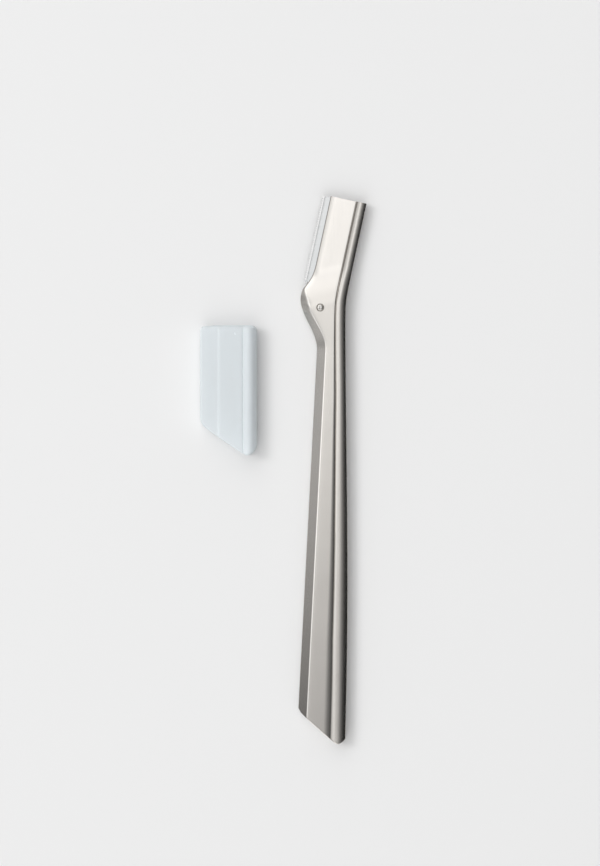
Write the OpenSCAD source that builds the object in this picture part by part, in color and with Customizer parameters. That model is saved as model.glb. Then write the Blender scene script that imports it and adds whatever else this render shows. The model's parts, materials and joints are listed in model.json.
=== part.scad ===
/* [Handle] */
// Length from the pivot to the tip of the tail
handle_l = 92; // [80:1:105]
// Width across the waist, just below the pivot
waist_w = 6; // [5.8:0.05:6.8]
// Width at the tail
tail_w = 10.3; // [9:0.1:12]
// Thickness over both closed halves
handle_t = 3.4; // [3.2:0.1:4.4]
// Width of the bevel on the blade side, seen from the front
bevel_w = 1.85; // [1.4:0.05:2]
// Depth of the groove between the plateau and the spine bead, at the neck
groove_d = 0.22; // [0.16:0.02:0.3]
// Depth of the same groove at the tail
groove_tail_d = 0.42; // [0.3:0.02:0.5]
// Width of the rolled spine bead at the head and the neck
bead_w = 2.1; // [1.9:0.1:2.4]
// Width of the rolled spine bead at the tail
bead_tail_w = 3.15; // [3:0.05:3.6]
// Outward bow of the spine edge
spine_bow = 0.5; // [0:0.1:1]
// Angle of the slanted cut at the tail, in degrees
tail_deg = 42; // [30:1:50]
// Thickness of the stamped sheet
sheet_t = 0.5; // [0.4:0.05:0.55]

/* [Head] */
// Distance from the pivot to the tip of the blade, along the head
blade_tip_v = 4.8; // [4.7:0.1:6]
// Lean of the head toward the spine, in degrees
head_tilt = 12.3; // [8:0.1:15]
// Flat width of the head plate, from its free edge to the groove
plate_w = 5.7; // [5.3:0.1:6]
// Height of the spine bead of one half, beside the blade
head_bead_h = 1.05; // [0.95:0.05:1.3]

/* [Pivot] */
// Distance from the pivot to the outer edge of the spine
spine_x = 5.3; // [5:0.1:5.8]
// Diameter of the rivet shank
rivet_d = 1.6; // [1.4:0.1:1.8]
// Diameter of the rivet's bright dome
dome_d = 1.25; // [1:0.05:1.3]
// Height of the dome above the plateau
dome_h = 0.15; // [0.05:0.05:0.3]
// Outer diameter of the bush and the washer on the rivet
bush_d = 2.4; // [2.2:0.1:2.6]
// Thickness of the friction washer
washer_t = 0.3; // [0.2:0.05:0.4]

/* [Blade] */
// Length of the cutting edge
blade_l = 18.4; // [17:0.2:18.6]
// Length of the blade's back
blade_back_l = 14.2; // [13.4:0.2:14.6]
// Width of the blade
blade_w = 7.2; // [7:0.05:7.3]
// Thickness of the blade
blade_t = 0.25; // [0.2:0.05:0.3]
// Width of the ground bevel at the cutting edge
grind_w = 0.8; // [0.5:0.1:1]
// How far the blade with its guard stands out of the plates
exposure = 1.79; // [1.6:0.05:1.9]
// Diameter of the two holes in the blade
hole_d = 2; // [1.6:0.1:2.2]
// Distance of the holes from the blade's back
hole_in = 2.4; // [2.2:0.1:2.8]
// Distance of the first hole from the blade's square end
hole_end = 3.9; // [3:0.1:5]
// Distance between the two holes
hole_pitch = 5.2; // [4.5:0.1:6]

/* [Guard] */
// Pitch of the guard's teeth
tooth_pitch = 0.5; // [0.4:0.05:0.8]
// Share of the pitch that is open between two teeth
slot_share = 0.45; // [0.3:0.05:0.6]
// Width of the guard on each face of the blade
guard_w = 0.6; // [0.55:0.05:0.8]
// Thickness of the guard's sheet
guard_t = 0.12; // [0.08:0.02:0.16]

/* [Cover] */
// Length of the cover on the spine side
cover_l = 27.4; // [26:0.2:30]
// How much shorter the cover is on the blade side
cover_slant = 5.7; // [4:0.1:7]
// Width of the cover
cover_w = 12; // [12:0.1:13]
// Wall thickness of the cover
cover_wall = 0.8; // [0.6:0.1:0.9]
// Distance from the pivot to the cover's middle, where it lies taken off
cover_x = 19.3; // [18:0.5:30]
// Distance from the pivot down to the cover's closed end
cover_y = 3.7; // [3.5:0.1:12]

/* [Hidden] */
$fn = 48;

// Colours, as the object shows them
steel_tone = "#c9c8c4";
rivet_tone = "#e4e3df";
dark_steel_tone = "#8d8c88";
blade_tone = "#dcdfe0";
cover_tone = "#e9edee";

// Clearances and small sizes
parting_gap = 0.03;       // between the rims of the two halves
fit = 0.02;               // between pieces that seat on each other
running_fit = 0.03;       // radial, of the rivet in its holes
stud_fit = 0.05;          // radial, of a stud in the blade's hole
cover_fit = 0.2;          // round the head inside the cover
cut_over = 1;             // overrun of every cut
edge_r = 0.08;            // worked edge of the sheet
wall_rise = 0.05;         // run of the steep inner face of the tail wall
rim_h = 0.3;              // upright rim below the bevel
bend_r = 0.3;             // run of the rounded bend between bevel and plateau

// Shape of the halves, along the handle (y = 0 at the pivot, head toward +Y)
waist_y = 9;              // waist, below the pivot
lobe_x = 4.17;            // widest point of the lobe beside the pivot
lobe_y = 1.8;
tip_x = 3.6;              // corner where the lobe meets the flared head plate
tip_y = 4.1;
flare_y = 9.5;            // end of the flare on the head plate
flare_power = 2.5;
bend_y = 1.4;             // where the spine turns into the lean of the head
bend_soft = 2;            // softness of that turn
ramp_foot_y = 1.2;        // plateau and bevel start down to the head plate
bevel_end_y = 4.9;        // end of the bevel
ramp_top_y = 7.2;         // end of the plateau's longer, skewed ramp
ramp_skew = 0.25;         // how much later the ramp comes toward the spine
ramp_mid_x = 1;           // blade-side place where the ramp has its plain length
head_groove_d = 0.12;     // depth of the groove on the head plate
plate_edge_r = 0.22;      // worked free edge of the head plate
margin_w = 1.05;          // strip along that edge, pressed down toward the blade
margin_deg = 6.5;         // how steeply
shoulder_w = 0.35;        // arc from the plateau into the groove, at the waist
shoulder_tail_w = 1.7;    // the same at the tail
tail_tip_x = 3.62;        // lowest point of the tail, on the bead
tail_tip_r = 0.5;         // rounding of that point
tail_back_rise = 1;       // rise of the cut from there to the spine edge
tail_corner_w = 0.8;      // rounding of the cut's corner on the blade side
tail_corner_rise = 0.45;
tail_edge_r = 0.16;       // worked edge all along the cut
tail_blend_l = 22;        // stretch over which the sections turn along the cut
bow_power = 1.5;
bead_foot_w = 0.12;       // steep foot of the bead, in the groove of the handle
head_bead_foot_w = 0.2;   // the same on the head plate
crown_tilt_deg = 42;      // tilt of the bead's crown where the upright spine wall starts: neck
crown_tail_tilt_deg = 43;
crown_head_tilt_deg = 38;
head_crown_dip = 0.01;    // how far the crown comes down toward the groove, on the head
crown_dip_share = 0.25;    // the same on the handle, of the groove's depth
bead_grow_shares = [0.2, 0.76];      // of handle_l: where the bead widens
inner_bend_share = 0.36;             // inner bend offset, of the sheet, on the bevel
plate_inset_share = 1.3;             // the same on the head plate
plateau_shares = [1 / 3, 2 / 3];
shoulder_shares = [0.5, 0.8];        // of the arc's width: its middle points
bevel_low_share = 0.3;               // up the bevel: a point for the tail's round corner
bead_steps = 9;

half_t = handle_t / 2 - parting_gap / 2;     // one half, above the parting plane
blade_drop = blade_t + fit;                  // room for the blade below that plane
end_inset = 0.3;                             // blade's square end, inside the head's end
head_l = blade_tip_v + blade_l + end_inset;  // the head is as long as the blade needs
lean = tan(head_tilt);
tail_slope = tan(tail_deg);
margin_slope = tan(margin_deg);
waist_left_x = waist_w - spine_x;
tail_left_x = tail_w - spine_x;

function clamp01(s) = min(1, max(0, s));
function smooth(s) = let (c = clamp01(s)) c * c * (3 - 2 * c);
function mix(a, b, s) = a + (b - a) * s;
// Zero well below s = 0 and equal to s well above it
function soft_ramp(s) = (s + sqrt(s * s + bend_soft * bend_soft)) / 2;

// Outline of a half, seen from the front
function along(y) = clamp01(-y / handle_l);
function spine_edge(y) =
    spine_x + spine_bow * sin(180 * pow(along(y), bow_power)) + lean * soft_ramp(y - bend_y);
function bead_width(y) =
    let (s = (along(y) - bead_grow_shares[0]) / (bead_grow_shares[1] - bead_grow_shares[0]))
    mix(bead_w, bead_tail_w, clamp01(s));
function groove_line(y) = spine_edge(y) - bead_width(y);
function plate_line(y) = spine_x - bead_w - plate_w / cos(head_tilt) + lean * soft_ramp(y - bend_y);
function flare_edge(y) =
    let (reach = plate_line(tip_y) + tip_x)
    plate_line(y) - reach * pow((flare_y - y) / (flare_y - tip_y), flare_power);
function lobe_edge(y) = -lobe_x + (lobe_x - tip_x) * pow((y - lobe_y) / (tip_y - lobe_y), 2);
function handle_edge(y) = -mix(waist_left_x, tail_left_x, (-y - waist_y) / (handle_l - waist_y));
function neck_edge(y) = -mix(-handle_edge(y), lobe_x, smooth((y + waist_y) / (lobe_y + waist_y)));
function left_edge(y) =
    y > flare_y ? plate_line(y) :
    y > tip_y ? flare_edge(y) :
    y > lobe_y ? lobe_edge(y) :
    y > -waist_y ? neck_edge(y) : handle_edge(y);
function shoulder(y) = mix(shoulder_w, shoulder_tail_w, along(y));

// Heights above the parting plane; drop is the room that a half leaves for the blade.
// The bevel ends before the plateau has come down to the head plate.
function smoother(s) = let (c = clamp01(s)) c * c * c * (10 - 15 * c + 6 * c * c);
function bevel_share(y) = smooth((bevel_end_y - y) / (bevel_end_y - ramp_foot_y));
function ramp(x, y) =
    smoother((ramp_top_y - y + ramp_skew * (x + ramp_mid_x)) / (ramp_top_y - ramp_foot_y));
function flat_h(x, y, drop) = mix(drop + sheet_t, half_t, ramp(x, y));
function margin_drop(x, y) =
    (1 - bevel_share(y)) * margin_slope * max(0, left_edge(y) + margin_w - x);
function plateau_h(x, y, drop) = flat_h(x, y, drop) - margin_drop(x, y);
function foot_h(y, drop) = drop * (1 - bevel_share(y));
function rim_top_h(y, drop) =
    mix(flat_h(left_edge(y), y, drop) - plate_edge_r, rim_h, bevel_share(y));
function handle_groove_d(y) = mix(groove_d, groove_tail_d, along(y));
function groove_h(y, drop) =
    let (x = groove_line(y))
    plateau_h(x, y, drop) - mix(head_groove_d, handle_groove_d(y), ramp(x, y));
function bead_h(y, drop) = mix(head_bead_h + drop / 2, half_t, ramp(spine_x, y));

// Places of one section, as [x, z]
function on_plateau(x, y, drop) = [x, plateau_h(x, y, drop)];
function bevel_width(y) = mix(plate_edge_r, bevel_w, bevel_share(y));
function bend_point(y, drop) = on_plateau(left_edge(y) + bevel_width(y), y, drop);
function rim_point(y, drop) = [left_edge(y), rim_top_h(y, drop)];
function bevel_way(y, drop) = let (way = bend_point(y, drop) - rim_point(y, drop)) way / norm(way);
function bend_run(y) = min(bend_r, bevel_width(y) / 3);
function shoulder_x(y) = groove_line(y) - shoulder(y);
// The first middle point of the plateau moves to the margin's line on the head
function plateau_x(i, start, y) =
    let (shared = mix(start, shoulder_x(y), plateau_shares[i]))
    i > 0 ? shared : mix(left_edge(y) + margin_w, shared, bevel_share(y));

// Rounded corner from the slope to the flat: its start, middle and end
function corner(at, way, run, i) =
    i == 0 ? at - run * way :
    i == 1 ? at + run / 4 * ([1, 0] - way) : at + [run, 0];
// Arc that steepens from the plateau into the groove
function shoulder_point(s, y, drop) =
    [shoulder_x(y) + s * shoulder(y),
     mix(plateau_h(shoulder_x(y), y, drop), groove_h(y, drop), s * s)];

// Crown of the bead: an arc, given by its width, by how far it comes down on the groove's
// side and by its tilt at the spine. From those follow its tilt at the groove and its radius.
function by_place(head, neck, tail, y) = mix(head, mix(neck, tail, along(y)), ramp(spine_x, y));
function crown_end(y) = by_place(crown_head_tilt_deg, crown_tilt_deg, crown_tail_tilt_deg, y);
function crown_w(y) = bead_width(y) - mix(head_bead_foot_w, bead_foot_w, ramp(spine_x, y));
function crown_dip(y) = mix(head_crown_dip, crown_dip_share * handle_groove_d(y), ramp(spine_x, y));
function crown_start(y) =
    let (k = crown_dip(y) / crown_w(y)) atan(k) + acos((1 - k * sin(crown_end(y))) / norm([1, k]));
function crown_r(y) = crown_w(y) / (sin(crown_start(y)) + sin(crown_end(y)));
function crown_point(s, y, drop) =
    let (a = mix(-crown_start(y), crown_end(y), s), r = crown_r(y))
    [spine_edge(y) + r * (sin(a) - sin(crown_end(y))), bead_h(y, drop) - r * (1 - cos(a))];
function crown_share(i) = (i - 12) / (bead_steps - 2);

// Points of the outer face, from the bevel's foot over the plateau to the spine's rim
last_point = 11 + bead_steps;
function outer_point(i, y, drop) =
    i == 0 ? [left_edge(y), foot_h(y, drop)] :
    i == 1 ? rim_point(y, drop) :
    i == 2 ? mix(rim_point(y, drop), bend_point(y, drop), bevel_low_share) :
    i < 6 ? corner(bend_point(y, drop), bevel_way(y, drop), bend_run(y), i - 3) :
    i < 8 ? on_plateau(plateau_x(i - 6, bend_point(y, drop)[0] + bend_run(y), y), y, drop) :
    i == 8 ? on_plateau(shoulder_x(y), y, drop) :
    i < 11 ? shoulder_point(shoulder_shares[i - 9], y, drop) :
    i == 11 ? [groove_line(y), groove_h(y, drop)] :
    i < last_point ? crown_point(crown_share(i), y, drop) : [spine_edge(y), 0];

// Points of the inner face, one sheet thickness inside the outer ones
function inner_groove_h(y, drop) = max(foot_h(y, drop), groove_h(y, drop) - sheet_t);
function inner_crown_point(s, y, drop) =
    let (inset = mix(sheet_t, bead_foot_w, ramp(spine_x, y)))
    [mix(groove_line(y) + inset, spine_edge(y) - sheet_t, s),
     max(foot_h(y, drop), crown_point(s, y, drop)[1] - sheet_t)];
function inner_bend(y, drop) =
    bend_point(y, drop) + sheet_t * [mix(plate_inset_share, inner_bend_share, bevel_share(y)), -1];
function above(p, floor_h) = [p[0], max(p[1], floor_h)];
function under(p, y, drop) = above(p - [0, sheet_t], foot_h(y, drop));
function inner_rim(y, drop) =
    [left_edge(y) + sheet_t + edge_r / 2,
     max(foot_h(y, drop), min(rim_top_h(y, drop) - sheet_t / 2, inner_bend(y, drop)[1]))];
function inner_corner(i, y, drop) =
    above(corner(inner_bend(y, drop), bevel_way(y, drop), bend_run(y), i), foot_h(y, drop));
function inner_point(i, y, drop) =
    i == 0 ? [left_edge(y) + sheet_t, foot_h(y, drop)] :
    i == 1 ? inner_rim(y, drop) :
    i == 2 ? mix(inner_rim(y, drop), inner_corner(0, y, drop), bevel_low_share) :
    i < 6 ? inner_corner(i - 3, y, drop) :
    i < 8 ? under(on_plateau(plateau_x(i - 6, inner_bend(y, drop)[0] + bend_run(y), y),
                             y, drop), y, drop) :
    i == 8 ? under(on_plateau(shoulder_x(y), y, drop), y, drop) :
    i < 11 ? under(shoulder_point(shoulder_shares[i - 9], y, drop), y, drop) :
    i == 11 ? [groove_line(y), inner_groove_h(y, drop)] :
    i < last_point ? inner_crown_point(crown_share(i), y, drop) : [spine_edge(y) - sheet_t, 0];
// The same under the solid wall that closes the tail, which takes the first stations
wall_stations = 3;
function wall_point(i, y) =
    [mix(left_edge(y) + sheet_t, spine_edge(y) - sheet_t, i / last_point), 0];

// Stations of the loft. A station's line turns along the slanted tail cut at one end and
// square to the leaning head at the other.
tail_wall = sheet_t / cos(tail_deg);
head_end_y = head_l / cos(head_tilt);
function tail_turn(y) = smooth((-y - handle_l + tail_blend_l) / tail_blend_l);
function head_turn(y) = smooth((y - flare_y) / (head_end_y - flare_y));
cut_left_x = left_edge(-handle_l + tail_slope * (tail_tip_x + tail_left_x));
function tail_line(x) =
    x > tail_tip_x ? tail_back_rise * pow((x - tail_tip_x) / (spine_x - tail_tip_x), 2) :
    tail_slope * (sqrt(pow(tail_tip_x - x, 2) + tail_tip_r * tail_tip_r) - tail_tip_r)
    + tail_corner_rise * pow(clamp01(1 - (x - cut_left_x) / tail_corner_w), 2);
function station_y(y, x) = y + tail_turn(y) * tail_line(x) - head_turn(y) * lean * x;
function spread(from, to, steps) = [for (i = [0 : steps - 1]) mix(from, to, i / steps)];
stations = concat(
    [-handle_l, -handle_l + tail_edge_r, -handle_l + tail_wall],
    spread(-handle_l + tail_wall + wall_rise, -handle_l + tail_blend_l, 6),
    spread(-handle_l + tail_blend_l, -waist_y, 9),
    spread(-waist_y, ramp_foot_y, 9),
    spread(ramp_foot_y, tip_y, 7),
    spread(tip_y, flare_y, 8),
    spread(flare_y, head_end_y, 3),
    [head_end_y]);

function section_point(i, y, drop, side) =
    side == 0 ? outer_point(i, y, drop) :
    side == 1 ? inner_point(i, y, drop) : wall_point(i, y);
// The place of a point is worked out again at the y that it ends up at
settle_steps = 2;
function settled_y(i, y, drop, side, at, steps) =
    let (next = station_y(y, section_point(i, at, drop, side)[0]))
    steps == 0 ? next : settled_y(i, y, drop, side, next, steps - 1);
function placed(i, y, drop, side) =
    let (at = settled_y(i, y, drop, side, y, settle_steps), p = section_point(i, at, drop, side))
    [p[0], at, p[1]];
// The first station is lowered a little, for the worked edge of the cut
function eased(p, k) = k > 0 ? p : [p[0], p[1], max(p[2] / 2, p[2] - tail_edge_r)];
function shell_points(drop) = [
    for (k = [0 : len(stations) - 1], side = [0, 1], i = [0 : last_point])
        eased(placed(i, stations[k], drop, side == 0 ? 0 : k < wall_stations ? 2 : 1), k)];

// Two triangles for each four-sided face
function quad(a, b, c, d) = [[a, b, c], [a, c, d]];
ring_n = 2 * (last_point + 1);
function outer_at(k, i) = k * ring_n + i;
function inner_at(k, i) = k * ring_n + last_point + 1 + i;
function flat_list(lists) = [for (l = lists) each l];
shell_faces = flat_list([
    for (k = [0 : len(stations) - 2], i = [0 : last_point - 1])
        quad(outer_at(k, i), outer_at(k + 1, i), outer_at(k + 1, i + 1), outer_at(k, i + 1)),
    for (k = [0 : len(stations) - 2], i = [0 : last_point - 1])
        quad(inner_at(k, i), inner_at(k, i + 1), inner_at(k + 1, i + 1), inner_at(k + 1, i)),
    for (k = [0 : len(stations) - 2])
        quad(outer_at(k, 0), inner_at(k, 0), inner_at(k + 1, 0), outer_at(k + 1, 0)),
    for (k = [0 : len(stations) - 2])
        quad(outer_at(k, last_point), outer_at(k + 1, last_point),
             inner_at(k + 1, last_point), inner_at(k, last_point)),
    for (i = [0 : last_point - 1])
        quad(outer_at(0, i), outer_at(0, i + 1), inner_at(0, i + 1), inner_at(0, i)),
    for (i = [0 : last_point - 1], k = [len(stations) - 1])
        quad(outer_at(k, i), inner_at(k, i), inner_at(k, i + 1), outer_at(k, i + 1))]);

// Places in the head: u across from the pivot toward the spine, v along the head
plate_u = (spine_x - bead_w - lean * bend_y) * cos(head_tilt) - plate_w;
guard_u = plate_u - exposure;
edge_u = guard_u + guard_t + fit;
back_u = edge_u + blade_w;
blade_end_v = head_l - end_inset;
stud_u = back_u - hole_in;
upper_stud_v = blade_end_v - hole_end;
lower_stud_v = upper_stud_v - hole_pitch;
stud_shank_d = 1.2;
slant_share = 0.75;                    // of the blade's width, that its slanted end crosses
guard_foot_gap = 0.3;                  // blade tip left bare below the guard
guard_l = blade_l - guard_foot_gap;
blade_top_z = -parting_gap / 2;
blade_mid_z = blade_top_z - blade_t / 2;
plate_back_z = -parting_gap / 2 - blade_drop;

// Where the whole part stands: centred in plan, on the floor
cover_low_x = -cover_x - cover_w / 2;
outline = [for (y = [stations[0], stations[len(stations) - 1]], i = [0 : last_point])
    placed(i, y, 0, 0)];
part_max_x = max([for (p = outline) p[0]]);
part_min_y = min([for (p = outline) p[1]]);
guard_top_y = -guard_u * sin(head_tilt) + blade_end_v * cos(head_tilt);
part_max_y = max(guard_top_y, max([for (p = outline) p[1]]));
place = [-(cover_low_x + part_max_x) / 2, -(part_min_y + part_max_y) / 2, handle_t / 2];

module placed_part() {
    translate(place) children();
}

module in_head() {
    rotate(-head_tilt) children();
}

// One stamped half above the parting plane, without its holes
module half_shell(drop) {
    polyhedron(points = shell_points(drop), faces = shell_faces, convexity = 8);
}

module rivet_hole() {
    translate([0, 0, -cut_over]) cylinder(d = rivet_d + 2 * running_fit, h = handle_t + 2 * cut_over);
}

module front_shell() {
    color(steel_tone) placed_part() translate([0, 0, parting_gap / 2])
        difference() {
            half_shell(0);
            rivet_hole();
        }
}

module back_shell() {
    color(steel_tone) placed_part() translate([0, 0, -parting_gap / 2]) mirror([0, 0, 1])
        difference() {
            half_shell(blade_drop);
            rivet_hole();
            in_head()
                for (v = [lower_stud_v, upper_stud_v])
                    translate([stud_u, v, -cut_over])
                        cylinder(d = stud_shank_d + 2 * fit, h = half_t + 2 * cut_over);
        }
}

// Shank with a turned-down end: a bright dome stands in a dark ring-shaped recess
recess_d = 0.25;
module pivot_rivet() {
    r = rivet_d / 2;
    top = handle_t / 2;
    dome_r = dome_d / 2;
    dome_points = [for (a = [0 : 15 : 90]) [dome_r * cos(a), top + dome_h * sin(a)]];
    color(rivet_tone) placed_part()
        rotate_extrude()
            polygon(concat(
                [[0, -top + fit], [r - edge_r, -top + fit], [r, -top + fit + edge_r],
                 [r, top - recess_d], [dome_r, top - recess_d]],
                dome_points));
}

// Tube that keeps the two hollow plateaus apart on the rivet
inner_h = half_t - sheet_t + parting_gap / 2;
module pivot_bush() {
    low = -inner_h + washer_t + 2 * fit;
    color(dark_steel_tone) placed_part()
        translate([0, 0, low])
            ring(bush_d, inner_h - fit - low);
}

module friction_washer() {
    color(dark_steel_tone) placed_part()
        translate([0, 0, -inner_h + fit])
            ring(bush_d, washer_t);
}

module ring(d, h) {
    difference() {
        cylinder(d = d, h = h);
        translate([0, 0, -cut_over]) cylinder(d = rivet_d + 2 * running_fit, h = h + 2 * cut_over);
    }
}

// Outline of the blade: square at the head's end, slanted toward the pivot
module blade_outline() {
    slant_u = back_u - slant_share * blade_w;
    polygon([[edge_u, blade_end_v], [edge_u, blade_tip_v], [slant_u, blade_tip_v],
             [back_u, blade_end_v - blade_back_l], [back_u, blade_end_v]]);
}

// Thickness of the blade: a wedge ground from both faces to the cutting edge
module blade_profile() {
    polygon([[edge_u, 0], [edge_u + grind_w, blade_t / 2], [back_u, blade_t / 2],
             [back_u, -blade_t / 2], [edge_u + grind_w, -blade_t / 2]]);
}

module blade() {
    color(blade_tone) placed_part() in_head() translate([0, 0, blade_mid_z])
        difference() {
            intersection() {
                translate([0, blade_end_v + cut_over, 0]) rotate([90, 0, 0])
                    linear_extrude(blade_l + 2 * cut_over) blade_profile();
                translate([0, 0, -blade_t]) linear_extrude(2 * blade_t) blade_outline();
            }
            for (v = [lower_stud_v, upper_stud_v])
                translate([stud_u, v, -blade_t]) cylinder(d = hole_d, h = 2 * blade_t);
        }
}

// Thin sheet folded round the cutting edge
module guard_profile() {
    fold_r = blade_t / 2 + fit + guard_t;
    difference() {
        union() {
            translate([guard_u + fold_r, 0]) circle(r = fold_r, $fn = 24);
            translate([guard_u + fold_r, -fold_r]) square([guard_w - fold_r, 2 * fold_r]);
        }
        translate([guard_u + guard_t, -fold_r + guard_t]) square([guard_w, 2 * (fold_r - guard_t)]);
    }
}

// Comb guard: slots across the fold leave the teeth between them
slot_reach_share = 0.65;               // of guard_w, that a slot cuts from the fold inward
module blade_guard() {
    slot_w = tooth_pitch * slot_share;
    slots = floor(guard_l / tooth_pitch) - 1;
    first_v = blade_end_v - (guard_l - (slots - 1) * tooth_pitch) / 2;
    color(dark_steel_tone) placed_part() in_head() translate([0, 0, blade_mid_z])
        difference() {
            translate([0, blade_end_v, 0]) rotate([90, 0, 0]) linear_extrude(guard_l) guard_profile();
            for (i = [0 : slots - 1])
                translate([guard_u - cut_over, first_v - i * tooth_pitch - slot_w / 2, -cut_over])
                    cube([cut_over + slot_reach_share * guard_w, slot_w, 2 * cut_over]);
        }
}

// Stud on the back half: riveted through the plate, flush with the blade's face
module stud(v) {
    color(rivet_tone) placed_part() in_head() translate([stud_u, v, 0])
        union() {
            translate([0, 0, plate_back_z + fit / 2])
                cylinder(d = hole_d - 2 * stud_fit, h = blade_t);
            translate([0, 0, plate_back_z - sheet_t + fit])
                cylinder(d = stud_shank_d, h = sheet_t);
        }
}

module upper_stud() {
    stud(upper_stud_v);
}

module lower_stud() {
    stud(lower_stud_v);
}

// Section of the cover, from the thin blade side to the ridge over the spine bead.
// Half heights follow the head inside it, plus the fit and the wall.
blade_half_h = blade_t / 2 + guard_t + 2 * cover_fit;
plate_half_h = blade_t / 2 + fit + sheet_t + cover_fit;
bead_half_h = head_bead_h + blade_drop / 2 + cover_fit;
ridge_wall = 0.5;                      // wall on the ridge's flanks
cover_step_share = -0.17;              // of cover_w: where the raised flat starts outside
cover_flat_share = 0.235;              // where it ends
cover_groove_share = 0.15;             // of the wall: depth of the groove before the ridge
ridge_steps = 18;
inner_step_x = cover_w / 2 - cover_wall - 2 * cover_fit - bead_w - plate_w;
module cover_section(wall, step_x, ridge_rx) {
    right = cover_w / 2 - cover_wall + wall;
    low_h = blade_half_h + wall;
    mid_h = plate_half_h + wall;
    high_h = bead_half_h + wall;
    dip_h = mid_h - cover_groove_share * wall;
    start = 180 - asin(dip_h / high_h);
    ridge = [for (i = [0 : ridge_steps])
        let (a = mix(start, -start, i / ridge_steps))
            [right - ridge_rx + ridge_rx * cos(a), high_h * sin(a)]];
    polygon(concat(
        [[-right, low_h], [step_x - (mid_h - low_h), low_h], [step_x, mid_h],
         [cover_flat_share * cover_w, mid_h]],
        ridge,
        [[cover_flat_share * cover_w, -mid_h], [step_x, -mid_h],
         [step_x - (mid_h - low_h), -low_h], [-right, -low_h]]));
}

// Outline of the cover from the front: closed end up, slanted open end down
cover_corner_r = 1.2;
module cover_outline() {
    r = cover_corner_r;
    hull() {
        for (x = [-cover_w / 2 + r, cover_w / 2 - r])
            translate([x, -r]) circle(r = r);
        translate([-cover_w / 2 + r, -cover_l + cover_slant + r]) circle(r = r);
        translate([cover_w / 2 - 2 * r, -cover_l + 2 * r]) circle(r = 2 * r);
    }
}

cover_h = 2 * (bead_half_h + cover_wall);
module blade_cover() {
    color(cover_tone, 0.6) placed_part()
        translate([-cover_x, -cover_y, (cover_h - handle_t) / 2])
            difference() {
                intersection() {
                    rotate([90, 0, 0]) linear_extrude(cover_l)
                        cover_section(cover_wall, cover_step_share * cover_w,
                                      bead_w / 2 + cover_fit + ridge_wall);
                    translate([0, 0, -cover_h]) linear_extrude(2 * cover_h) cover_outline();
                }
                translate([0, -cover_wall, 0]) rotate([90, 0, 0])
                    linear_extrude(cover_l + cut_over)
                        cover_section(0, inner_step_x, bead_w / 2 + cover_fit);
            }
}

front_shell();
back_shell();
pivot_rivet();
pivot_bush();
friction_washer();
blade();
blade_guard();
upper_stud();
lower_stud();
blade_cover();
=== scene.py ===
# %% [markdown]
# An eyebrow razor lies front face up on a pale table, with its slip-on blade cover beside it.
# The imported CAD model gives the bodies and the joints, and most sizes below repeat its own.
# This script gives each piece its finished surface: polished sheet halves, a riveted pivot,
# a ground blade in a comb guard, and a milky moulded cover.

# %% Load the frame
import json
import math

import bmesh
import bpy
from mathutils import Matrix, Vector


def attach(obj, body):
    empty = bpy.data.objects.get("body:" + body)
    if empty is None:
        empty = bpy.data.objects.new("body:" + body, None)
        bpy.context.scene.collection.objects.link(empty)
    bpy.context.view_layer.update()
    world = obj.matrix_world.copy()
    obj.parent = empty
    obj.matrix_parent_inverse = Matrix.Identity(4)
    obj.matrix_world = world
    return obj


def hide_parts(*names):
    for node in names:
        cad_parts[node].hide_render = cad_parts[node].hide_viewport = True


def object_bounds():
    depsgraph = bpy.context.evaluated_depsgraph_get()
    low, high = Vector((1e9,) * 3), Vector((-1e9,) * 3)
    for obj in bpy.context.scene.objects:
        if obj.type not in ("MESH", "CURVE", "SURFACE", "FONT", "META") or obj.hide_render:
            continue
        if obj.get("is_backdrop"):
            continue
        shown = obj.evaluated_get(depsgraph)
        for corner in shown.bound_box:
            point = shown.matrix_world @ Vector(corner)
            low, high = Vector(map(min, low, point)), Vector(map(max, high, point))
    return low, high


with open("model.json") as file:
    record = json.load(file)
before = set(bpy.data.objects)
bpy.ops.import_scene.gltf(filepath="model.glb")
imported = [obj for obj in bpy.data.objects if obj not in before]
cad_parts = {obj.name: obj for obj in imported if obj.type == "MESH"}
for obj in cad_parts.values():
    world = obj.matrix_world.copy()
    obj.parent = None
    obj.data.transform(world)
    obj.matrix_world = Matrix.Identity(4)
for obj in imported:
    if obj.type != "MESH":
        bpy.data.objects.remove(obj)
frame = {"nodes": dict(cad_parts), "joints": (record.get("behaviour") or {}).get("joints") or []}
cad_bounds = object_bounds()
print("CAD nodes:", sorted(frame["nodes"]))

# %% [markdown]
# Blender works in metres and the razor's sizes are a few millimetres, so every size below
# is a named number of millimetres times MM. Places are measured from the pivot, which the
# frame's hinge gives: across toward the spine (x), along toward the head (y), and up from
# the parting plane of the two halves (z).

# %% Units, the pivot and small helpers
MM = 0.001
PIVOT = Vector(next(j for j in frame["joints"] if j["type"] == "hinge")["pos_m"])
HEAD_TILT = math.radians(12.3)


def mix(a, b, share):
    return a + (b - a) * share


def smooth(share):
    share = min(1, max(0, share))
    return share * share * (3 - 2 * share)


def show(mesh_name, points, faces):
    """An object from points in millimetres round the pivot."""
    mesh = bpy.data.meshes.new(mesh_name)
    mesh.from_pydata([PIVOT + MM * Vector(p) for p in points], [], faces)
    mesh.validate()
    piece = bpy.data.objects.new(mesh_name, mesh)
    bpy.context.scene.collection.objects.link(piece)
    return piece


def finish_mesh(piece, sharp_deg=38):
    """Turns faces outward and shades them smooth, but for edges above sharp_deg."""
    bm = bmesh.new()
    bm.from_mesh(piece.data)
    bmesh.ops.recalc_face_normals(bm, faces=bm.faces)
    limit = math.radians(sharp_deg)
    for face in bm.faces:
        face.smooth = True
    for edge in bm.edges:
        edge.smooth = len(edge.link_faces) == 2 and edge.calc_face_angle() < limit
    bm.to_mesh(piece.data)
    bm.free()


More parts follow.
